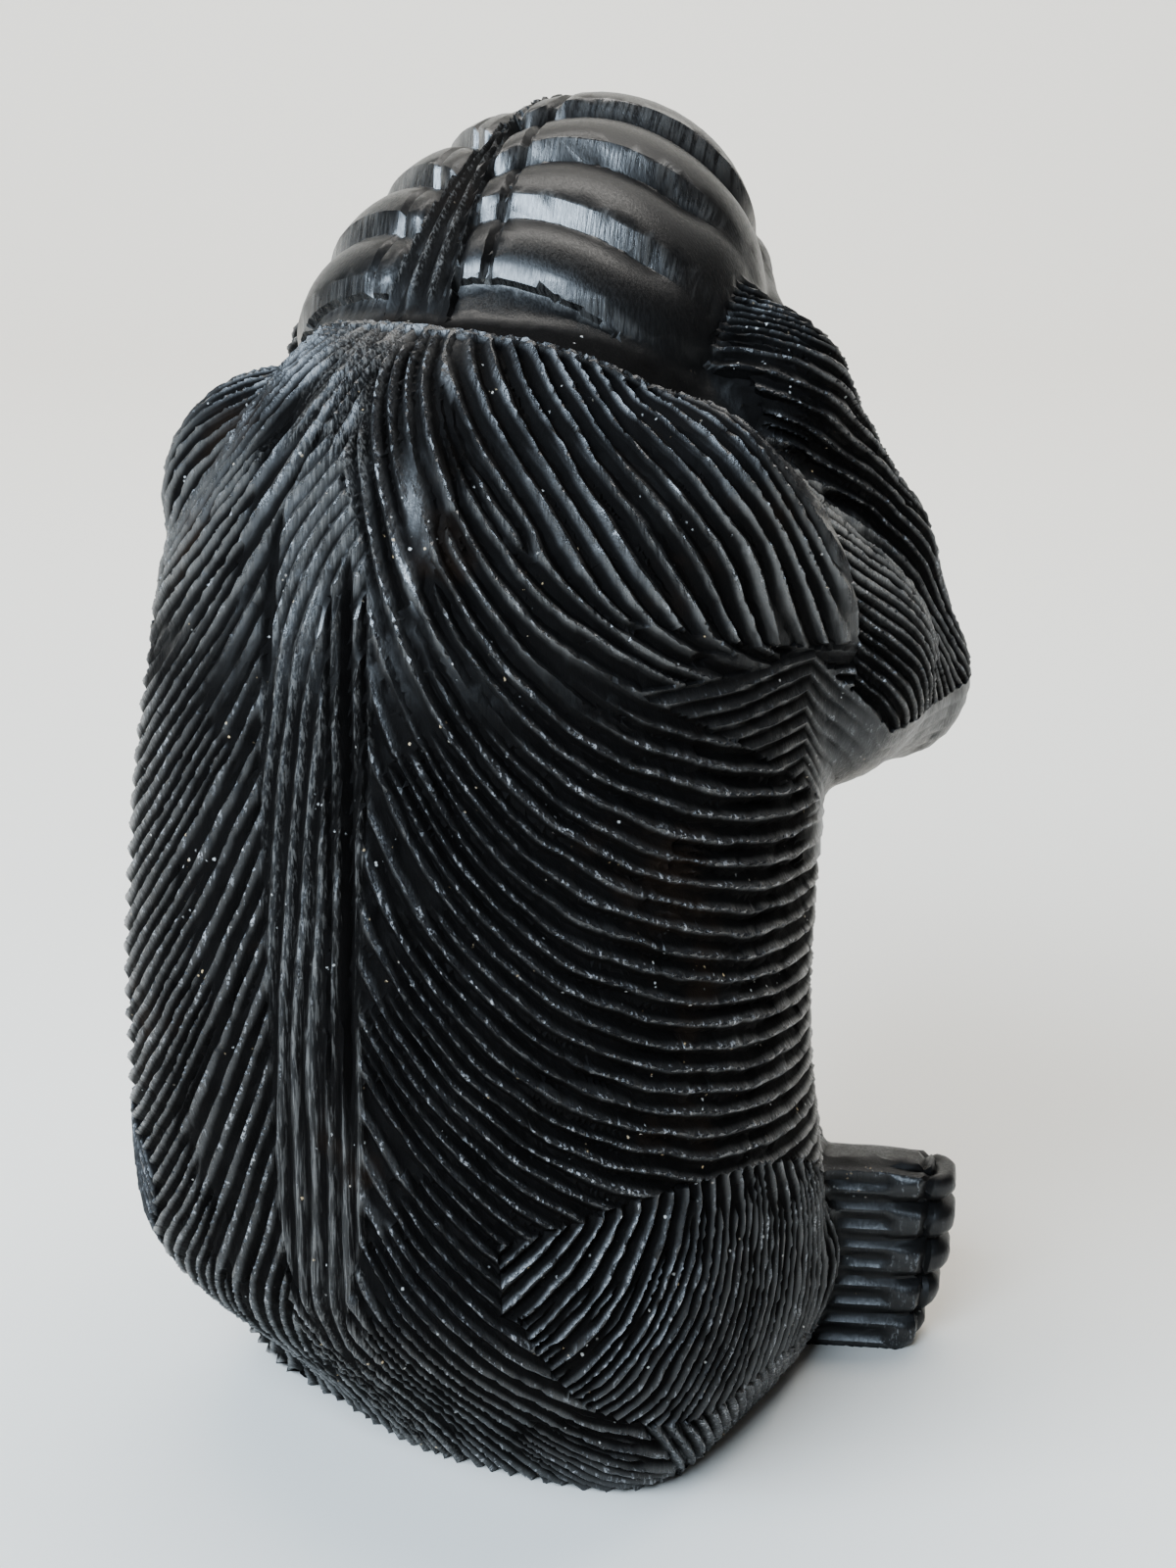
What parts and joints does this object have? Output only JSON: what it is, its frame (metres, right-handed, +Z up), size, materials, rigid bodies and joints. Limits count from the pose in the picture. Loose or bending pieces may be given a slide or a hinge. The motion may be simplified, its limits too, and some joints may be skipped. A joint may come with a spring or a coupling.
{
  "type": "hear-no-evil monkey statue",
  "caption": "Seated carved ebony monkey with its hands over its ears, furrowed fur all over, feet out to the sides and a flat underside it stands on.",
  "frame": {"origin": "middle of the figure's overall box, on the flat underside it stands on", "axes": "+Z up, the monkey faces -Y, its right side is towards -X"},
  "size_m": [0.0944, 0.1022, 0.153],
  "materials": {
    "ebony": "hand-carved black ebony, satin on the ridges, with worn grey streaks and dust in the furrows"
  },
  "bodies": {
    "root": {"monkey": "ebony"}
  },
  "joints": []
}
